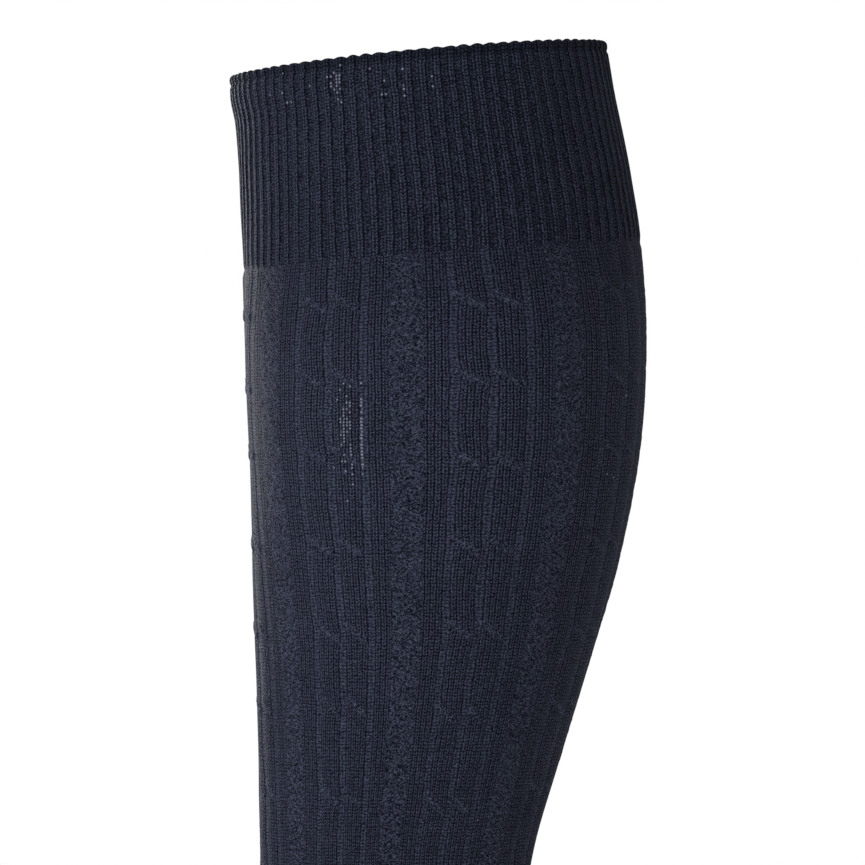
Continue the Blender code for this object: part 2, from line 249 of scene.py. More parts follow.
# How far the pattern has turned round the leg, in degrees, at three places round it
DriftRow = namedtuple("DriftRow", "down left middle right")
DRIFT_ROWS = [
    DriftRow(down=0.057, left=6.4, middle=1.7, right=-4.2),
    DriftRow(down=0.080, left=2.4, middle=0.8, right=-1.4),
    DriftRow(down=0.099, left=1.3, middle=0.7, right=-0.9),
    DriftRow(down=0.114, left=1.5, middle=0.9, right=-0.4),
    DriftRow(down=0.144, left=6.0, middle=2.6, right=0.4),
    DriftRow(down=0.170, left=10.3, middle=5.6, right=2.6),
    DriftRow(down=0.199, left=12.8, middle=7.4, right=4.0),
    DriftRow(down=0.230, left=15.2, middle=8.9, right=6.4),
    DriftRow(down=0.339, left=18.0, middle=11.0, right=8.5),
]
CUFF_DRIFT_ROWS = [
    DriftRow(down=0.000, left=0.0, middle=0.0, right=0.0),
    DriftRow(down=0.018, left=-1.0, middle=-1.3, right=0.1),
    DriftRow(down=0.036, left=-3.2, middle=-2.3, right=0.3),
    DriftRow(down=0.057, left=-5.5, middle=-3.4, right=0.5),
]
DRIFT_ANGLES = (-63.7, -12.3, 39.2)

# Distances down to where the cables cross, in the two panels that face the camera
Crossing = namedtuple("Crossing", "first_panel second_panel")
CROSSINGS = [
    Crossing(0.0698, 0.0715),
    Crossing(0.0920, 0.0930),
    Crossing(0.1143, 0.1163),
    Crossing(0.1403, 0.1398),
    Crossing(0.1648, 0.1640),
    Crossing(0.1857, 0.1885),
    Crossing(0.2120, 0.2142),
    Crossing(0.2370, 0.2380),
    Crossing(0.2620, 0.2625),
    Crossing(0.2860, 0.2870),
]

# Where pale stretch threads peep through, by distance down and angle round in degrees
Thread = namedtuple("Thread", "down reach power angle width amount")
THREADS = [
    Thread(down=0.0075, reach=0.0045, power=2, angle=-22.0, width=20.0, amount=0.7),
    Thread(down=0.1070, reach=0.0090, power=2, angle=-28.6, width=3.0, amount=1.0),
    Thread(down=0.1080, reach=0.0120, power=4, angle=-24.3, width=0.8, amount=4.0),
]
STRAY_THREADS = 0.001

# Slow unevenness of the knit: its size, and the wales and courses that one swing takes
Noise = namedtuple("Noise", "size wales courses seed")
WIDE_STRAY = Noise(size=0.16, wales=6, courses=22, seed=7)
NARROW_STRAY = Noise(size=0.07, wales=2, courses=7, seed=8)
RIB_UNEVENNESS = Noise(size=0.35, wales=2, courses=18, seed=9)
CUFF_SLACK = Noise(size=SLACK, wales=8, courses=14, seed=10)
BEAD_UNEVENNESS = Noise(size=0.5, wales=2, courses=1, seed=11)
MOSS_BUMPS = Noise(size=1.0, wales=2 / 3, courses=1.1, seed=12)
LEG_SLACK = Noise(size=SLACK, wales=7, courses=16, seed=14)
FOOT_SLACK = Noise(size=SLACK, wales=7, courses=16, seed=16)

# The hollow colour is painted shade for the yarn's hollows; the crest colour is the yarn's own colour
# brightened with painted highlight on its crests.
Yarn = namedtuple("Yarn", "name hollow crest purl_lift")
# The rib yarn is a darker copy of the same yarn, for painted shade between the cuff's ribs.
RIB_YARN = Yarn("rib knit", (0.0006, 0.0009, 0.0022), (0.0268, 0.0316, 0.0520), 0.70)
CABLE_YARN = Yarn("cable knit", (0.0009, 0.0013, 0.0032), (0.0305, 0.0353, 0.0570), 1.08)
PLAIN_YARN = Yarn("plain knit", (0.0009, 0.0013, 0.0032), (0.0282, 0.0326, 0.0520), 1.0)
YARN_RELIEF = 0.00032
THREAD_COLOUR = (0.15, 0.16, 0.20, 1)

Lamp = namedtuple("Lamp", "name place size power")
LAMPS = [
    Lamp(name="key", place=(-1.25, -1.40, 0.45), size=0.9, power=49),
    Lamp(name="edge", place=(-0.80, 1.26, 0.10), size=0.6, power=31),
]

Sections = namedtuple("Sections", "front middle back half_width roundness")
Surface = namedtuple("Surface", "points column course masks")


def mix(start, end, share):
    return start + (end - start) * share


def eased(value, low, high):
    """0 below low, 1 above high and smooth between."""
    t = np.clip((value - low) / (high - low), 0, 1)
    return t * t * (3 - 2 * t)


def bell(value, width, power=2):
    """1 at 0, and less away from it on both sides."""
    return np.exp(-((value / width) ** power))


def smooth_curve(places, values, at):
    """Values on a smooth curve through (place, value) knots."""
    places = np.asarray(places, float)
    values = np.asarray(values, float)
    low = np.maximum(np.arange(len(places)) - 1, 0)
    high = np.minimum(np.arange(len(places)) + 1, len(places) - 1)
    slopes = (values[high] - values[low]) / (places[high] - places[low])
    i = np.clip(np.searchsorted(places, at) - 1, 0, len(places) - 2)
    span = places[i + 1] - places[i]
    t = (at - places[i]) / span
    rise = values[i + 1] - values[i]
    start = slopes[i] * span
    end = slopes[i + 1] * span
    return values[i] + t * start + t * t * (3 * rise - 2 * start - end) + t**3 * (start + end - 2 * rise)


def soft_noise(x, y, x_cells, seed):
    """Smooth noise from -1 to 1 over a lattice that repeats after x_cells."""
    y_cells = int(np.max(y)) + 3
    lattice = np.random.RandomState(seed).uniform(-1, 1, (x_cells, y_cells))
    column = np.floor(x).astype(int)
    row = np.floor(y).astype(int)
    s = eased(x - column, 0, 1)
    t = eased(y - row, 0, 1)
    near = mix(lattice[column % x_cells, row], lattice[(column + 1) % x_cells, row], s)
    far = mix(lattice[column % x_cells, row + 1], lattice[(column + 1) % x_cells, row + 1], s)
    return mix(near, far, t)


def unevenness(noise, wale, course):
    """A slow swing of the knit that meets itself round the sock."""
    cells = round(WALES / noise.wales)
    return noise.size * soft_noise(wale / noise.wales, course / noise.courses, cells, noise.seed)


def leg_sections(down):
    """The sections of the cuff or leg at distances below the rim's middle."""
    rows = CUFF_ROWS + LEG_ROWS
    places = [row.down * CUFF_HEIGHT for row in CUFF_ROWS]
    places += [CUFF_HEIGHT + row.down * LEG_HEIGHT for row in LEG_ROWS]

    def share(column):
        return smooth_curve(places, [getattr(row, column) for row in rows], down)

    front_x = -mix(ANKLE_FRONT, SHIN_REACH, share("shin"))
    back_x = mix(ACHILLES_REACH, CALF_REACH, share("calf"))
    bend = share("bend")
    turned = np.maximum(bend, 0)
    tilt = share("tilt") * RIM_RISE / 2
    level = np.zeros_like(down)
    front_z = -down - tilt + bend * (INSTEP_HEIGHT - ANKLE_HEIGHT)
    back_z = -down + tilt + bend * HEEL_LIFT
    return Sections(
        front=np.stack([front_x, level, front_z], -1),
        middle=np.stack([mix((front_x + back_x) / 2, TURN_X, turned), level, -down], -1),
        back=np.stack([back_x, level, back_z], -1),
        half_width=mix(ANKLE_WIDTH, CALF_WIDTH, share("side")) / 2,
        roundness=mix(LEG_ROUNDNESS, FOOT_ROUNDNESS, turned),
    )


def foot_sections(along):
    """Sections from the ankle's turn to the start of the toe, at shares of the stretch."""
    turn = leg_sections(np.array([CUFF_HEIGHT + LEG_HEIGHT]))
    lead = TURN_X - turn.front[0, 0]
    start = FootRow(
        along=0.0,
        top=(turn.front[0, 2] - SOLE_Z) / INSTEP_HEIGHT,
        middle=ANKLE_HEIGHT / INSTEP_HEIGHT,
        lean=1.0,
        side=(turn.half_width[0] - ANKLE_WIDTH / 2) / (FOOT_WIDTH / 2 - ANKLE_WIDTH / 2),
    )
    rows = [start] + FOOT_ROWS
    places = [row.along for row in rows]

    def share(column):
        return smooth_curve(places, [getattr(row, column) for row in rows], along)

    x = mix(TURN_X, TOE_START_X, along)
    level = np.zeros_like(x)
    under = np.full_like(x, SOLE_Z - SOLE_PRESS)
    return Sections(
        front=np.stack([x - share("lean") * lead, level, SOLE_Z + share("top") * INSTEP_HEIGHT], -1),
        middle=np.stack([x, level, SOLE_Z + share("middle") * INSTEP_HEIGHT], -1),
        back=np.stack([x, level, under], -1),
        half_width=mix(ANKLE_WIDTH / 2, FOOT_WIDTH / 2, share("side")),
        roundness=np.full_like(x, FOOT_ROUNDNESS),
    )


def toe_sections(share):
    """Sections from the start of the toe to its tip, which draw in to a rounded end."""
    start = foot_sections(np.array([1.0]))
    shrink = (1 - share**TOE_ROUNDNESS) ** (1 / TOE_ROUNDNESS)
    x = mix(TOE_START_X, TOE_TIP_X, share)
    tip_z = SOLE_Z + TOE_TIP_HEIGHT
    level = np.zeros_like(x)

    def drawn_in(point):
        return np.stack([x, level, mix(tip_z, point[0, 2], shrink)], -1)

    return Sections(
        front=drawn_in(start.front),
        middle=drawn_in(start.middle),
        back=drawn_in(start.back),
        half_width=start.half_width[0] * shrink,
        roundness=np.full_like(x, FOOT_ROUNDNESS),
    )


def heel_sections(share):
    """Half sections that fan round the heel from the leg's back to the sole."""
    turn = leg_sections(np.array([CUFF_HEIGHT + LEG_HEIGHT]))
    middle = np.array([TURN_X, 0, TURN_Z])
    backs = [turn.back[0]]
    for row in HEEL_ROWS:
        backs.append(middle + np.array([row.behind * HEEL_REACH, 0, -row.below * ANKLE_HEIGHT]))
    backs.append(middle - np.array([0, 0, ANKLE_HEIGHT + SOLE_PRESS]))
    backs = np.array(backs)
    steps = np.linalg.norm(np.diff(backs, axis=0), axis=1)
    places = np.concatenate([[0], np.cumsum(steps)]) / steps.sum()
    back = np.stack([smooth_curve(places, backs[:, k], share) for k in range(3)], -1)
    return Sections(
        front=np.broadcast_to(turn.front[0], back.shape),
        middle=np.broadcast_to(middle, back.shape),
        back=back,
        half_width=np.full(len(share), turn.half_width[0]),
        roundness=np.full(len(share), FOOT_ROUNDNESS),
    )


def section_points(sections, angle, inset=0.0):
    """Points on each section, at angles from the -Y side towards the back."""
    power = (2 / sections.roundness)[:, None]
    across = np.abs(np.sin(angle)) ** power
    sideways = np.abs(np.cos(angle)) ** power
    to_back = sections.back - sections.middle
    to_front = sections.front - sections.middle
    back = (np.sin(angle) > 0)[..., None]
    reach = np.where(back, to_back[:, None], to_front[:, None])
    length = np.linalg.norm(reach, axis=-1)
    inwards = np.maximum(1 - inset / np.maximum(length, 1e-6), 0)
    points = sections.middle[:, None] + reach * (across * inwards)[..., None]
    half_width = np.maximum(sections.half_width - inset, 0)[:, None]
    points[..., 1] = -half_width * sideways * np.sign(np.cos(angle))
    points[..., 2] = np.maximum(points[..., 2], SOLE_Z + inset)
    return points


def even_angles(turn, sections):
    """Angles at which shares of the girth have been passed, for the leg's near-round sections."""
    depth = np.linalg.norm(sections.back - sections.front, axis=-1) / 2
    uneven = ((depth - sections.half_width) / (depth + sections.half_width))[:, None]
    return turn - uneven / 2 * np.sin(2 * turn)


def spaced_angles(sections, start, end, count, closed):
    """Angles that space points evenly along each section between two angles."""
    trial = np.linspace(start, end, TRIAL_ANGLES)
    points = section_points(sections, np.broadcast_to(trial, (len(sections.half_width), len(trial))))
    steps = np.linalg.norm(np.diff(points, axis=1), axis=-1)
    passed = np.concatenate([np.zeros((len(steps), 1)), np.cumsum(steps, axis=1)], axis=1)
    shares = np.linspace(0, 1, count, endpoint=not closed)
    return np.array([np.interp(shares * row[-1], row, trial) for row in passed])


def ring_angles(sections, columns):
    """Evenly spaced angles right round each section, from the front."""
    return spaced_angles(sections, -pi / 2, 3 * pi / 2, columns, closed=True)


def surface_normals(points, closed=True):
    """Normals of a grid of points whose rows run down and whose columns run round."""
    down = np.gradient(points, axis=0)
    if closed:
        along = np.roll(points, -1, axis=1) - np.roll(points, 1, axis=1)
    else:
        along = np.gradient(points, axis=1)
    normals = np.cross(down, along)
    return normals / np.maximum(np.linalg.norm(normals, axis=-1, keepdims=True), 1e-12)


def drifted(rows, down, turn):
    """The angle round the leg of each wale, with the knit's slow drift."""
    places = [row.down for row in rows]
    shifts = []
    for side in ("left", "middle", "right"):
        shifts.append(smooth_curve(places, [getattr(row, side) for row in rows], down))
    basis = [[1, np.cos(np.radians(a)), np.sin(np.radians(a))] for a in DRIFT_ANGLES]
    level, forward, sideways = np.linalg.solve(basis, np.array(shifts))
    drift = level[:, None] + forward[:, None] * np.cos(turn) + sideways[:, None] * np.sin(turn)
    return turn + np.radians(drift)


def pattern_turn(down, turn):
    return drifted(DRIFT_ROWS, down, turn + REPEAT_PHASE)


def seam(*distances):
    """How far the knit is drawn in at its seams: 1 on a seam and 0 away from it."""
    return sum(bell(distance, SEAM_WIDTH) for distance in distances)


class Fabric:
    """Gathers the grids of one knitted wall and makes a mesh object of them."""

    def __init__(self):
        self.points = []
        self.normals = []
        self.faces = []
        self.stitches = []
        self.atlas = []
        self.masks = {"purl": [], "moss": [], "calm": [], "glint": [], "dim": []}
        self.count = 0

    def add_grid(self, points, normals, wale, course, masks, strip, closed=True, outwards=True):
        """Adds a grid and returns its vertex numbers. strip is its share of the texture's height."""
        rows, columns = points.shape[:2]
        index = self.count + np.arange(rows * columns).reshape(rows, columns)
        self.count += rows * columns
        self.points.append(points.reshape(-1, 3))
        self.normals.append(normals.reshape(-1, 3))
        for name, values in self.masks.items():
            values.append(np.broadcast_to(masks.get(name, 0.0), (rows, columns)).reshape(-1))
        if closed:
            index = np.concatenate([index, index[:, :1]], axis=1)
        across = np.linspace(0, 1, index.shape[1])
        upwards = np.linspace(strip[1], strip[0], rows)
        atlas = np.stack(np.broadcast_arrays(across[None], upwards[:, None]), -1)
        stitches = np.stack(np.broadcast_arrays(wale, course), -1)
        corners = [(0, 0), (1, 0), (1, 1), (0, 1)]
        if not outwards:
            corners = corners[::-1]

        def at_corners(values):
            parts = [values[r:rows - 1 + r, c:values.shape[1] - 1 + c] for r, c in corners]
            return np.stack(parts, axis=2)

        self.faces.extend(at_corners(index[..., None]).reshape(-1, 4).tolist())
        self.stitches.append(at_corners(stitches).reshape(-1, 2))
        self.atlas.append(at_corners(atlas).reshape(-1, 2))
        return index

    def add_outer(self, points, wale, course, masks, closed=True):
        """Adds the outer face, whose shading follows its own points."""
        normals = surface_normals(points, closed)
        return self.add_grid(points, normals, wale, course[:, None], masks, OUTER_STRIP, closed)

    def add_inner(self, sections, angle, girth, course, closed=True):
        """Adds the smooth inner face, one wall inside the sections. girth is its number of wales."""
        points = section_points(sections, angle, WALL)
        normals = -surface_normals(points, closed)
        columns = points.shape[1] + 1 if closed else points.shape[1]
        wale = np.linspace(0, girth, columns)[None]
        masks = {"purl": INNER_PURL}
        courses = course[:, None]
        return self.add_grid(points, normals, wale, courses, masks, INNER_STRIP, closed, outwards=False)

    def join(self, fine, coarse, at_top):
        """Closes the wall's edge between a row of fine points and one of fewer."""
        step = (len(fine) - 1) // (len(coarse) - 1)
        for k in range(len(coarse) - 1):
            face = list(fine[k * step:(k + 1) * step + 1]) + [coarse[k + 1], coarse[k]]
            self.close(face if at_top else face[::-1])

    def join_ends(self, outer, inner):
        """Closes the wall at the upper and the lower edge of its two faces."""
        self.join(outer[0], inner[0], at_top=True)
        self.join(outer[-1], inner[-1], at_top=False)

    def close(self, face):
        self.faces.append([int(i) for i in face])
        self.stitches.append(np.zeros((len(face), 2)))
        self.atlas.append(np.full((len(face), 2), 0.5))

    def close_tip(self, row, point, normal, course, height, outwards):
        """Closes a ring with a fan of triangles round one point. height is its place in the texture."""
        tip = self.count
        self.count += 1
        self.points.append(np.array([point]))
        self.normals.append(np.array([normal]))
        for values in self.masks.values():
            values.append(np.zeros(1))
        order = [0, 1, 2] if outwards else [2, 1, 0]
        count = len(row) - 1
        for i in range(count):
            face = [row[i], tip, row[i + 1]]
            shares = np.array([i, i + 0.5, i + 1]) / count
            places = np.stack([shares * WALES, [course, course + 1, course]], -1)
            spots = np.stack([shares, np.full(3, height)], -1)
            self.faces.append([int(face[k]) for k in order])
            self.stitches.append(places[order])
            self.atlas.append(spots[order])

    def make(self, name, material, slot, *nodes):
        """Makes the object, and lets it stand for nodes of the frame."""
        mesh = bpy.data.meshes.new(name)
        mesh.from_pydata(np.concatenate(self.points), [], self.faces)
        mesh.shade_smooth()
        for label, corners in (("stitches", self.stitches), ("OFBake", self.atlas)):
            layer = mesh.uv_layers.new(name=label)
            layer.uv.foreach_set("vector", np.concatenate(corners).astype(np.float32).ravel())
        for label, values in self.masks.items():
            attribute = mesh.attributes.new(label, "FLOAT", "POINT")
            attribute.data.foreach_set("value", np.concatenate(values).astype(np.float32))
        mesh.normals_split_custom_set_from_vertices(np.concatenate(self.normals))
        mesh.materials.append(material)
        mesh.validate()
        piece = bpy.data.objects.new(name, mesh)
        bpy.context.scene.collection.objects.link(piece)
        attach(piece, "root")
        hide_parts(*nodes)
        return piece


def knit_wander(wale, course):
    """How far the columns of stitches stray sideways, in wales."""
    return unevenness(WIDE_STRAY, wale, course) + unevenness(NARROW_STRAY, wale, course)


def stretch_threads(down, angle):
    """How often pale stretch threads peep through: below the rim in front, and beside one cable."""
    degrees = np.degrees((angle + pi) % (2 * pi) - pi)
    amount = np.full(angle.shape, STRAY_THREADS)
    for thread in THREADS:
        near = bell(down - thread.down, thread.reach, thread.power)[:, None]
        amount += thread.amount * near * bell(degrees - thread.angle, thread.width)
    return amount


def leg_wales():
    """The columns of the leg's fine grid, in wales, with the first one again at the end."""
    return np.arange(WALES * COLUMNS_PER_WALE + 1) / COLUMNS_PER_WALE


def rib_relief(wale, course):
    """Height, purl mask and stitch column of the rib, where even wales stand and odd ones sink."""
    strayed = wale + knit_wander(wale, course)
    swing = np.cos(pi * (strayed - 0.5))
    ridge = np.tanh(RIB_EDGE_SHARPNESS * swing + RIB_WIDENING) / np.tanh(RIB_EDGE_SHARPNESS + RIB_WIDENING)
    rib_middle = 2 * np.floor(wale / 2) + 1
    depth = 1 + unevenness(RIB_UNEVENNESS, rib_middle, course)
    height = -RIB_DEPTH * depth * (0.5 - 0.5 * ridge)
    return height, eased(-swing, PURL_START, PURL_FULL), strayed


def cuff_rows():
    """The rim's roll and the rows below it, as distance down, inset and share of the roll."""
    turn = np.linspace(pi, 0, RIM_ROWS)
    half = (WALL + RIM_BULGE) / 2
    down = RIM_RADIUS * (1 - np.sin(turn))
    inset = WALL - half - half * np.cos(turn)
    roll = mix(ROLL_AT_EDGE, 1, np.sin(turn))
    welt_down = [row.down * WELT_HEIGHT for row in WELT_ROWS]
    welt_inset = [row.groove * WELT_GROOVE - row.bulge * RIM_BULGE for row in WELT_ROWS]
    plain = np.append(np.arange(WELT_HEIGHT, CUFF_HEIGHT, COURSE), CUFF_HEIGHT)
    groove = WELT_GROOVE * bell(plain - WELT_HEIGHT, WELT_GROOVE_REACH)
    down = np.concatenate([down, welt_down, plain])
    inset = np.concatenate([inset, welt_inset, groove])
    roll = np.concatenate([roll, [row.roll for row in WELT_ROWS], np.zeros(len(plain))])
    return down, inset, roll


def cuff_surface():
    """The ribbed outer face of the cuff, with its rolled and beaded rim."""
    down, inset, roll = cuff_rows()
    wale = leg_wales()[:-1]
    turn = 2 * pi * wale / WALES
    angle = even_angles(drifted(CUFF_DRIFT_ROWS, down, turn[None]), leg_sections(down))
    base = section_points(leg_sections(down), angle)
    even_down = np.linspace(0, CUFF_HEIGHT, len(down))
    normals = surface_normals(section_points(leg_sections(even_down), angle))
    grid_wale, grid_course = np.broadcast_arrays(wale[None], (down / COURSE)[:, None])
    height, purl, strayed = rib_relief(grid_wale, grid_course)
    drawn_in = seam(CUFF_HEIGHT - down)
    flat = (1 - ROLL_FLATNESS * roll) * (1 - SEAM_FLATNESS * drawn_in)
    relief = height * flat[:, None] + unevenness(CUFF_SLACK, grid_wale, grid_course)
    outer = inset < WALL * ROLL_RIBBED
    height = np.where(outer[:, None], relief, 0) - (inset + SEAM_DEPTH * drawn_in)[:, None]
    points = base + normals * height[..., None]
    bead = 2 * np.abs(np.cos(pi / 2 * (strayed - 0.5))) - 1
    wobble = 1 + unevenness(BEAD_UNEVENNESS, grid_wale, grid_course * 0)
    points[..., 2] += SCALLOP * bead * wobble * np.clip(roll, 0, 1)[:, None]
    column = np.concatenate([strayed, strayed[:, :1] + WALES], axis=1)
    welt = 1 - eased(down / WELT_HEIGHT, WELT_DIM_START, WELT_DIM_END)
    masks = {
        "purl": purl * (1 - WELT_PURL_LOSS * welt)[:, None],
        "glint": stretch_threads(down, angle),
        "dim": welt[:, None],
    }
    return Surface(points, column, down / COURSE, masks)


def make_cuff(material):
    surface = cuff_surface()
    fabric = Fabric()
    outer = fabric.add_outer(surface.points, surface.column, surface.course, surface.masks)
    down = np.linspace(RIM_RADIUS, CUFF_HEIGHT, CUFF_INNER_ROWS)
    turn = 2 * pi * leg_wales()[:-1:INNER_STEP] / WALES
    sections = leg_sections(down)
    inner = fabric.add_inner(sections, even_angles(turn[None], sections), WALES, down / COURSE)
    fabric.join_ends(outer, inner)
    return fabric.make("ribbed_cuff", material, "rib_knit", "cuff")


def in_band(place, low, high, edge=BAND_EDGE):
    """1 between two places across a repeat, and 0 outside them."""
    return eased(place, low - edge, low + edge) * (1 - eased(place, high - edge, high + edge))


def crossings_of(repeat):
    """Distances down to the crossings in one repeat. The first two panels face the camera."""
    panel = (repeat + 1) % REPEATS
    own = np.array([crossing[panel % 2] for crossing in CROSSINGS])
    if panel > 1:
        own = own + CROSSING_SHIFT * ((3 * panel + 5 * np.arange(len(own))) % 4 - 1.5)
    return own


def between_crossings(repeat, down):
    """The share of the way from one crossing to the next, with the place of the nearest one."""
    share = np.zeros(np.broadcast(repeat, down).shape)
    nearest = np.zeros_like(share)
    for number in range(REPEATS):
        own = crossings_of(number)
        above = 2 * own[0] - own[1]
        below = 2 * own[-1] - own[-2]
        ends = np.concatenate([[above], own, [below], PLACES_BELOW_LEG])
        i = np.clip(np.searchsorted(ends, down) - 1, 0, len(ends) - 2)
        way = (down - ends[i]) / (ends[i + 1] - ends[i])
        near = np.where(way < 0.5, ends[i], ends[i + 1])
        share = np.where(repeat % REPEATS == number, way, share)
        nearest = np.where(repeat % REPEATS == number, near, nearest)
    return share, nearest


def leg_relief(wale, down):
    """Height, stitch column and masks of the cable and moss pattern."""
    course = down / COURSE
    strayed = wale + 0.5 * knit_wander(wale, course)
    repeat = np.floor(strayed * REPEATS / WALES)
    place = strayed - repeat * WALES / REPEATS
    share, nearest = between_crossings(repeat, down)
    sway = SWAY * (np.sin(pi * share) - 0.5)
    place = place + sway * in_band(place, BAND_PLACES[2], BAND_PLACES[4] + SWAY_MARGIN, SWAY_EDGE)
    column = np.interp(place, BAND_PLACES, SHOWN_PLACES) + repeat * SHOWN_IN_REPEAT
    purl = np.zeros_like(place)
    height = np.zeros_like(place)
    calm = np.zeros_like(place)
    moss = in_band(place, BAND_PLACES[0] + MOSS_INSET, BAND_PLACES[1] - MOSS_INSET)
    for band, low, high in zip(BANDS, BAND_PLACES, BAND_PLACES[1:]):
        inside = in_band(place, low, high)
        if band.name == "purl":
            purl += inside
        if band.name == "cable":
            across = (place - low) / (high - low)
            fall = STEP_FALL * (eased(across, -0.1, 1.0) - 0.5)
            below = (down - nearest - fall) / STEP_HALF
            reached = in_band(place, low - STEP_MARGIN, high, STEP_EDGE)
            step = reached * bell(below, 1, power=4)
            under = reached * bell(below - DIP_DROP, DIP_HALF)
            height += inside * CABLE_CROWN * np.sin(pi * np.clip(across, 0, 1))
            height += STEP_RISE * (step - DIP_SHARE * under)
            calm = np.maximum(calm, step)
            column += inside * STRAND_LEAN * (share - 0.5) * (across - 0.5)
    knit = np.clip(1 - purl - moss, 0, 1)
    height -= WALE_ROUND * knit * (1 - calm) * (0.5 + 0.5 * np.cos(2 * pi * column))
    height -= CHANNEL_DEPTH * purl
    height += MOSS_HEIGHT * (moss + 0.5 * calm) * unevenness(MOSS_BUMPS, wale, course)
    height += unevenness(LEG_SLACK, wale, course)
    return height, column, {"purl": purl * (1 - calm), "moss": moss, "calm": calm}


def leg_surface(down):
    """The patterned outer face of the leg, at distances below the rim's middle."""
    wale = leg_wales()[:-1]
    turn = 2 * pi * wale / WALES
    sections = leg_sections(down)
    angle = even_angles(pattern_turn(down, turn[None]), sections)
    base = section_points(sections, angle)
    grid_wale, grid_down = np.broadcast_arrays(wale[None], down[:, None])
    height, column, masks = leg_relief(grid_wale, grid_down)
    drawn_in = seam(down - down[0], down[-1] - down)
    flat = 1 - SEAM_FLATNESS * np.clip(drawn_in, 0, 1)
    height = height * flat[:, None] - SEAM_DEPTH * drawn_in[:, None]
    points = base + surface_normals(base) * height[..., None]
    column = np.concatenate([column, column[:, :1] + REPEATS * SHOWN_IN_REPEAT], axis=1)
    dim = TOP_DIM * (1 - eased(down, down[0], down[0] + TOP_DIM_REACH))
    masks["glint"] = stretch_threads(down, angle)
    masks["dim"] = np.broadcast_to(dim[:, None], height.shape)
    return Surface(points, column, down / COURSE, masks)


def make_leg(material):
    """The leg, as stacked tubes that share their edges."""
    down = np.linspace(CUFF_HEIGHT, CUFF_HEIGHT + LEG_HEIGHT, round(LEG_HEIGHT / COURSE) + 1)
    surface = leg_surface(down)
    normals = surface_normals(surface.points)
    turn = 2 * pi * leg_wales()[:-1:INNER_STEP] / WALES
    cuts = np.linspace(0, len(down) - 1, len(LEG_PIECES) + 1).round().astype(int)
    for name, first, last in zip(LEG_PIECES, cuts, cuts[1:]):
        rows = slice(first, last + 1)
        course = surface.course[rows, None]
        masks = {label: values[rows] for label, values in surface.masks.items()}
        fabric = Fabric()
        outer = fabric.add_grid(
            surface.points[rows], normals[rows], surface.column[rows], course, masks, OUTER_STRIP
        )
        inner_down = np.linspace(down[first], down[last], LEG_INNER_ROWS)
        sections = leg_sections(inner_down)
        angle = even_angles(pattern_turn(inner_down, turn[None]), sections)
        inner = fabric.add_inner(sections, angle, WALES, inner_down / COURSE)
        fabric.join_ends(outer, inner)
        fabric.make(name, material, "cable_knit", "leg")


def plain_surface(sections, angle, girth, reach, closed=True):
    """A plain outer face with slack, drawn in at its first and last row and flat on the floor."""
    base = section_points(sections, angle)
    columns = angle.shape[1] + 1 if closed else angle.shape[1]
    wale = np.linspace(0, girth, columns)
    course = reach / COURSE
    grid_wale, grid_course = np.broadcast_arrays(wale[None, :angle.shape[1]], course[:, None])
    height = unevenness(FOOT_SLACK, grid_wale, grid_course)
    drawn_in = seam(reach, reach[-1] - reach)
    height = height * (1 - drawn_in)[:, None] - SEAM_DEPTH * drawn_in[:, None]
    if not closed:
        height = height * np.sin(pi * np.linspace(0, 1, columns))
    points = base + surface_normals(base, closed) * height[..., None]
    points[..., 2] = np.maximum(points[..., 2], SOLE_Z)
    return Surface(points, wale[None], course, {})


def make_foot(material):
    along = np.linspace(0, 1, round(FOOT_TUBE / FOOT_ROW) + 1)
    sections = foot_sections(along)
    surface = plain_surface(sections, ring_angles(sections, FOOT_COLUMNS), WALES, along * FOOT_TUBE)
    fabric = Fabric()
    outer = fabric.add_outer(surface.points, surface.column, surface.course, surface.masks)
    few = foot_sections(np.linspace(0, 1, FOOT_INNER_ROWS))
    course = np.linspace(0, surface.course[-1], FOOT_INNER_ROWS)
    inner = fabric.add_inner(few, ring_angles(few, FOOT_INNER_COLUMNS), WALES, course)
    fabric.join_ends(outer, inner)
    return fabric.make("plain_foot", material, "plain_knit", "foot")


def make_toe(material):
    share = np.sin(pi / 2 * np.arange(TOE_ROWS) / TOE_ROWS)
    sections = toe_sections(share)
    base = section_points(sections, ring_angles(sections, FOOT_COLUMNS))
    drawn_in = seam(share * TOE_LENGTH)
    points = base - surface_normals(base) * (SEAM_DEPTH * drawn_in)[:, None, None]
    points[..., 2] = np.maximum(points[..., 2], SOLE_Z)
    wale = np.linspace(0, WALES, FOOT_COLUMNS + 1)
    course = (FOOT_TUBE + share * TOE_LENGTH) / COURSE
    fabric = Fabric()
    outer = fabric.add_outer(points, wale[None], course, {})
    few = toe_sections(np.sin(pi / 2 * np.arange(TOE_INNER_ROWS) / TOE_INNER_ROWS))
    inner_course = np.linspace(course[0], course[-1], TOE_INNER_ROWS)
    inner = fabric.add_inner(few, ring_angles(few, FOOT_INNER_COLUMNS), WALES, inner_course)
    fabric.join(outer[0], inner[0], at_top=True)
    tip = np.array([TOE_TIP_X, 0, SOLE_Z + TOE_TIP_HEIGHT])
    inner_tip = tip + np.array([TIP_WALL, 0, 0])
    fabric.close_tip(outer[-1], tip, (-1, 0, 0), course[-1], OUTER_STRIP[0], outwards=True)
    fabric.close_tip(inner[-1], inner_tip, (1, 0, 0), course[-1], INNER_STRIP[0], outwards=False)
    return fabric.make("plain_toe", material, "plain_knit", "toe")


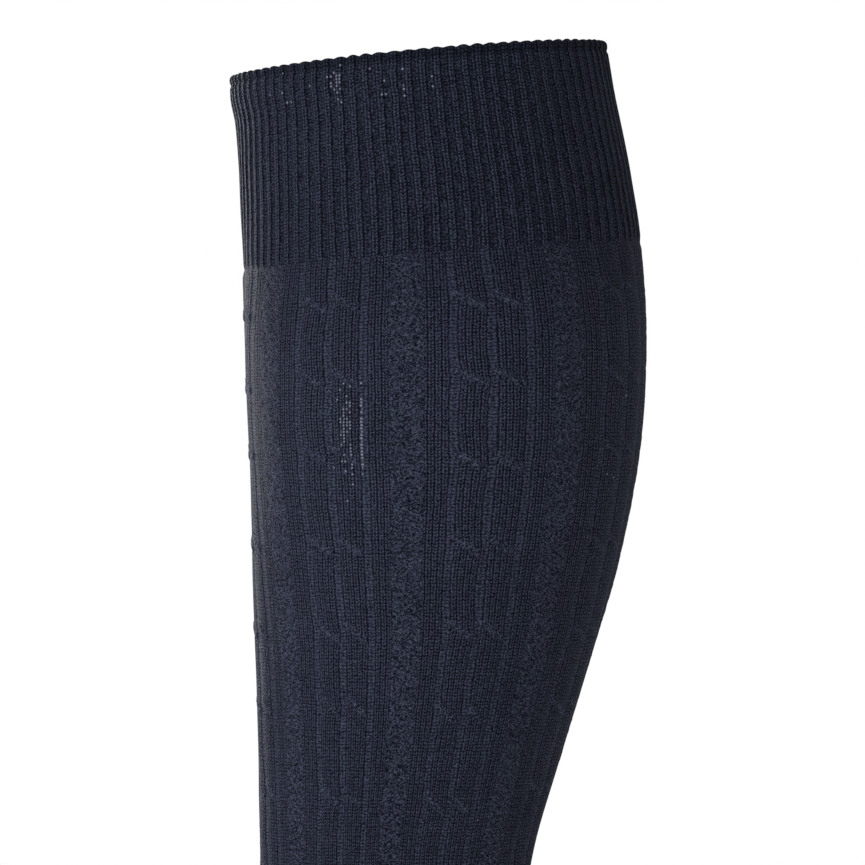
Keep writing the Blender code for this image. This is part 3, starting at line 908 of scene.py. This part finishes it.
def make_heel(material):
    share = np.linspace(0, 1, HEEL_FAN_ROWS + 1)
    sections = heel_sections(share)
    corner = HEEL_CORNER / sections.half_width[0]
    girth = WALES / 2

    def half_ring(half_sections, columns):
        return spaced_angles(half_sections, corner, pi - corner, columns, closed=False)

    length = np.linalg.norm(np.diff(sections.back, axis=0), axis=1).sum()
    angle = half_ring(sections, HEEL_COLUMNS)
    surface = plain_surface(sections, angle, girth, share * length, closed=False)
    fabric = Fabric()
    outer = fabric.add_outer(surface.points, surface.column, surface.course, surface.masks, closed=False)
    few = heel_sections(np.linspace(0, 1, HEEL_INNER_ROWS))
    course = np.linspace(0, surface.course[-1], HEEL_INNER_ROWS)
    inner = fabric.add_inner(few, half_ring(few, HEEL_INNER_COLUMNS), girth, course, closed=False)
    fabric.join_ends(outer, inner)
    fabric.join(outer[:, 0], inner[:, 0], at_top=False)
    fabric.join(outer[:, -1], inner[:, -1], at_top=True)
    return fabric.make("plain_heel", material, "plain_knit", "heel")


class Nodes:
    """Short names for adding shader nodes to a material."""

    def __init__(self, material):
        self.tree = material.node_tree

    def add(self, kind, **settings):
        node = self.tree.nodes.new(kind)
        for name, value in settings.items():
            setattr(node, name, value)
        return node

    def link(self, source, socket):
        if isinstance(source, bpy.types.NodeSocket):
            self.tree.links.new(source, socket)
        else:
            socket.default_value = source

    def math(self, operation, *values, clamp=False):
        node = self.add("ShaderNodeMath", operation=operation, use_clamp=clamp)
        for value, socket in zip(values, node.inputs):
            self.link(value, socket)
        return node.outputs[0]

    def plus(self, first, second):
        return self.math("ADD", first, second)

    def times(self, first, second, clamp=False):
        return self.math("MULTIPLY", first, second, clamp=clamp)

    def scaled(self, value, factor, shift, clamp=False):
        """value times factor, plus shift."""
        return self.math("MULTIPLY_ADD", value, factor, shift, clamp=clamp)

    def centred(self, value):
        return self.math("SUBTRACT", value, 0.5)

    def blend(self, share, low, high):
        """low where share is 0 and high where it is 1."""
        node = self.add("ShaderNodeMix", data_type="FLOAT")
        self.link(share, node.inputs["Factor"])
        self.link(low, node.inputs["A"])
        self.link(high, node.inputs["B"])
        return node.outputs["Result"]

    def tint(self, share, first, second, blend_type="MIX"):
        """first where share is 0 and second, blended in, where it is 1."""
        node = self.add("ShaderNodeMix", data_type="RGBA", blend_type=blend_type)
        self.link(share, node.inputs[0])
        self.link(first, node.inputs[6])
        self.link(second, node.inputs[7])
        return node.outputs[2]

    def noise(self, vector, scale, detail=1.0, roughness=0.5):
        node = self.add("ShaderNodeTexNoise", noise_dimensions="3D")
        self.link(vector, node.inputs["Vector"])
        node.inputs["Scale"].default_value = scale
        node.inputs["Detail"].default_value = detail
        node.inputs["Roughness"].default_value = roughness
        return node.outputs["Fac"]

    def mask(self, name):
        return self.add("ShaderNodeAttribute", attribute_name=name).outputs["Fac"]

    def wave(self, phase):
        """A wave from 0 to 1 that peaks where the phase is whole."""
        return self.scaled(self.math("COSINE", self.times(phase, 2 * pi)), 0.5, 0.5)

    def eased(self, value, low, high):
        """0 at low, 1 at high and smooth between. low may be the larger."""
        node = self.add("ShaderNodeMapRange", interpolation_type="SMOOTHSTEP")
        self.link(value, node.inputs["Value"])
        node.inputs["From Min"].default_value = low
        node.inputs["From Max"].default_value = high
        return node.outputs["Result"]


def yarn_legs(nodes, side):
    """The two legs of a stitch, at a distance of side from its middle, with a low bridge between."""
    legs = nodes.eased(nodes.wave(nodes.scaled(side, 2.0, -0.5)), 0.05, 0.85)
    bridge = nodes.times(nodes.eased(side, 0.25, 0.0), 0.5)
    return nodes.math("MAXIMUM", legs, bridge)


def knit_stitch(nodes, legs, side, course):
    """Beads that slant up each leg, like a V."""
    beads = nodes.eased(nodes.wave(nodes.scaled(side, 1.1, course)), 0.0, 0.8)
    return nodes.times(legs, nodes.scaled(beads, 0.7, 0.3))


def purl_stitch(nodes, legs, course, lift):
    """One level bar a course."""
    bars = nodes.scaled(nodes.wave(course), 0.6, 0.4)
    return nodes.times(nodes.times(bars, nodes.scaled(legs, 0.5, 0.4)), lift)


def moss_stitch(nodes, wale, course, place, specks):
    """Wavy bars that shift by half a course from wale to wale, broken by specks and by holes, which the
    colour paints dark as shade.
    """
    brick = nodes.times(nodes.math("FLOOR", wale), 0.5)
    warp = nodes.scaled(nodes.noise(place, 420), 3.6, brick)
    bars = nodes.eased(nodes.wave(nodes.plus(course, warp)), 0.1, 0.9)
    solid = nodes.eased(nodes.noise(place, 1000), 0.57, 0.45)
    moss = nodes.scaled(nodes.eased(specks, 0.38, 0.62), 0.42, -0.04)
    moss = nodes.scaled(bars, 0.40, moss)
    return nodes.scaled(solid, 0.34, moss)


def stitch_height(nodes, wale, course, place, purl_lift):
    """The height of the yarn over knit, purl and moss stitches, from 0 to about 1. It sets the bump and the
    painted shade and highlight.
    """
    wale = nodes.plus(nodes.scaled(nodes.noise(place, 420), 0.3, -0.15), wale)
    course = nodes.plus(nodes.scaled(nodes.noise(place, 800), 1.2, -0.6), course)
    side = nodes.math("ABSOLUTE", nodes.centred(nodes.math("FRACT", wale)))
    legs = yarn_legs(nodes, side)
    specks = nodes.noise(place, 2000)
    height = nodes.blend(
        nodes.mask("purl"),
        knit_stitch(nodes, legs, side, course),
        purl_stitch(nodes, legs, course, purl_lift),
    )
    height = nodes.blend(nodes.mask("moss"), height, moss_stitch(nodes, wale, course, place, specks))
    step = nodes.scaled(nodes.eased(specks, 0.30, 0.70), 0.5, 0.36)
    return nodes.blend(nodes.mask("calm"), height, step)


def thread_dots(nodes, wale, course):
    """Pale dots of stretch thread, down some half wales where the glint mask is high."""
    halves = nodes.times(wale, 2.0)
    column = nodes.math("FLOOR", halves)
    cell = nodes.add("ShaderNodeCombineXYZ")
    nodes.link(column, cell.inputs[0])
    nodes.link(nodes.math("FLOOR", course), cell.inputs[1])
    chance = nodes.add("ShaderNodeTexWhiteNoise", noise_dimensions="2D")
    nodes.link(cell.outputs[0], chance.inputs["Vector"])
    luck = nodes.add("ShaderNodeTexWhiteNoise", noise_dimensions="1D")
    nodes.link(column, luck.inputs["W"])
    across = nodes.centred(nodes.math("FRACT", halves))
    along = nodes.centred(nodes.math("FRACT", course))
    apart = nodes.math("SQRT", nodes.plus(nodes.times(across, across), nodes.times(along, along)))
    dot = nodes.math("SUBTRACT", 1.0, nodes.eased(apart, 0.10, 0.42))
    often = nodes.times(nodes.mask("glint"), nodes.eased(luck.outputs["Value"], 0.62, 0.98))
    chosen = nodes.math("LESS_THAN", chance.outputs["Value"], nodes.times(often, 0.8))
    return nodes.times(nodes.times(dot, chosen), 0.75)


def yarn_colour_with_painted_shade(nodes, yarn, height, fibre, place):
    """Darker with painted shade in the hollows and paler with painted highlight on the crests, with fibres,
    slow patches and a shifting hue.
    """
    # The stitch height is painted as shade and highlight: low yarn darker, high yarn paler.
    shade = nodes.math("POWER", nodes.math("MAXIMUM", height, 0.0), 1.4)
    shade = nodes.scaled(nodes.centred(fibre), 0.8, shade, clamp=True)
    patches = nodes.noise(place, 70, detail=3, roughness=0.55)
    shade = nodes.times(shade, nodes.scaled(patches, 0.5, 0.75), clamp=True)
    shade = nodes.times(shade, nodes.scaled(nodes.mask("dim"), -0.45, 1.0))
    colour = nodes.tint(shade, (*yarn.hollow, 1), (*yarn.crest, 1))
    hue = nodes.eased(nodes.noise(place, 170, detail=2, roughness=0.6), 0.35, 0.65)
    cast = nodes.tint(hue, (1.03, 0.98, 1.03, 1), (0.96, 1.02, 0.98, 1))
    return nodes.tint(1.0, colour, cast, blend_type="MULTIPLY")


def knit_material(yarn):
    """Knitted yarn with its stitches in bump, and in colour as painted shade and highlight, under a soft
    fuzz.
    """
    material = bpy.data.materials.new(yarn.name)
    material.use_nodes = True
    nodes = Nodes(material)
    shader = material.node_tree.nodes["Principled BSDF"]
    stitches = nodes.add("ShaderNodeSeparateXYZ")
    nodes.link(nodes.add("ShaderNodeUVMap", uv_map="stitches").outputs["UV"], stitches.inputs[0])
    wale = stitches.outputs["X"]
    course = stitches.outputs["Y"]
    place = nodes.add("ShaderNodeTexCoord").outputs["Object"]
    height = stitch_height(nodes, wale, course, place, yarn.purl_lift)
    grain = nodes.eased(nodes.noise(place, 2000, detail=2, roughness=0.6), 0.36, 0.64)
    height = nodes.scaled(nodes.centred(grain), 0.55, height)
    fibre = nodes.noise(place, 4200)
    # The stitch height also paints shade into the hollows and highlight onto the crests.
    colour = yarn_colour_with_painted_shade(nodes, yarn, height, fibre, place)
    colour = nodes.tint(thread_dots(nodes, wale, course), colour, THREAD_COLOUR)
    nodes.link(colour, shader.inputs["Base Color"])
    nodes.link(nodes.scaled(fibre, 0.25, 0.62), shader.inputs["Roughness"])
    bump = nodes.add("ShaderNodeBump")
    bump.inputs["Strength"].default_value = 1.0
    bump.inputs["Distance"].default_value = YARN_RELIEF
    nodes.link(height, bump.inputs["Height"])
    nodes.link(bump.outputs["Normal"], shader.inputs["Normal"])
    shader.inputs["Specular IOR Level"].default_value = 0.02
    shader.inputs["Sheen Weight"].default_value = 0.015
    shader.inputs["Sheen Roughness"].default_value = 0.4
    shader.inputs["Sheen Tint"].default_value = (0.70, 0.74, 0.90, 1)
    return material


def aim(thing, target):
    """Turns a camera or a light to face a point."""
    thing.rotation_euler = (Vector(target) - thing.location).to_track_quat("-Z", "Y").to_euler()


def add_camera():
    """At the photo's angle, framed as the photo is."""
    data = bpy.data.cameras.new("camera")
    camera = bpy.data.objects.new("camera", data)
    bpy.context.scene.collection.objects.link(camera)
    data.sensor_width = SENSOR_WIDTH
    data.lens = SENSOR_WIDTH * CAMERA_DISTANCE / FRAME_WIDTH
    camera.location = (FRAME_MIDDLE_X, -CAMERA_DISTANCE, FRAME_MIDDLE_Z)
    aim(camera, (FRAME_MIDDLE_X, 0, FRAME_MIDDLE_Z))
    bpy.context.scene.camera = camera


def add_lamp(lamp):
    data = bpy.data.lights.new(lamp.name, "AREA")
    data.shape = "DISK"
    data.size = lamp.size
    data.energy = lamp.power
    light = bpy.data.objects.new(lamp.name, data)
    light.location = lamp.place
    bpy.context.scene.collection.objects.link(light)
    aim(light, LAMP_TARGET)


def add_surround():
    """White light from all sides, as in the photo's studio."""
    scene = bpy.context.scene
    scene.view_settings.view_transform = "Standard"
    world = bpy.data.worlds.new("white surround")
    world.use_nodes = True
    world.node_tree.nodes["Background"].inputs["Color"].default_value = (1, 1, 1, 1)
    scene.world = world


def add_floor():
    bpy.ops.mesh.primitive_circle_add(vertices=96, radius=FLOOR_RADIUS, fill_type="NGON")
    floor = bpy.context.object
    floor.location = (0, 0, SOLE_Z - FLOOR_GAP)
    floor.name = "floor"
    paint = bpy.data.materials.new("pale floor")
    paint.use_nodes = True
    shader = paint.node_tree.nodes["Principled BSDF"]
    shader.inputs["Base Color"].default_value = (0.82, 0.82, 0.83, 1)
    shader.inputs["Roughness"].default_value = 0.8
    floor.data.materials.append(paint)


def main():
    add_camera()
    add_surround()
    add_floor()
    for lamp in LAMPS:
        add_lamp(lamp)
    make_cuff(knit_material(RIB_YARN))
    make_leg(knit_material(CABLE_YARN))
    plain = knit_material(PLAIN_YARN)
    make_heel(plain)
    make_foot(plain)
    make_toe(plain)


main()
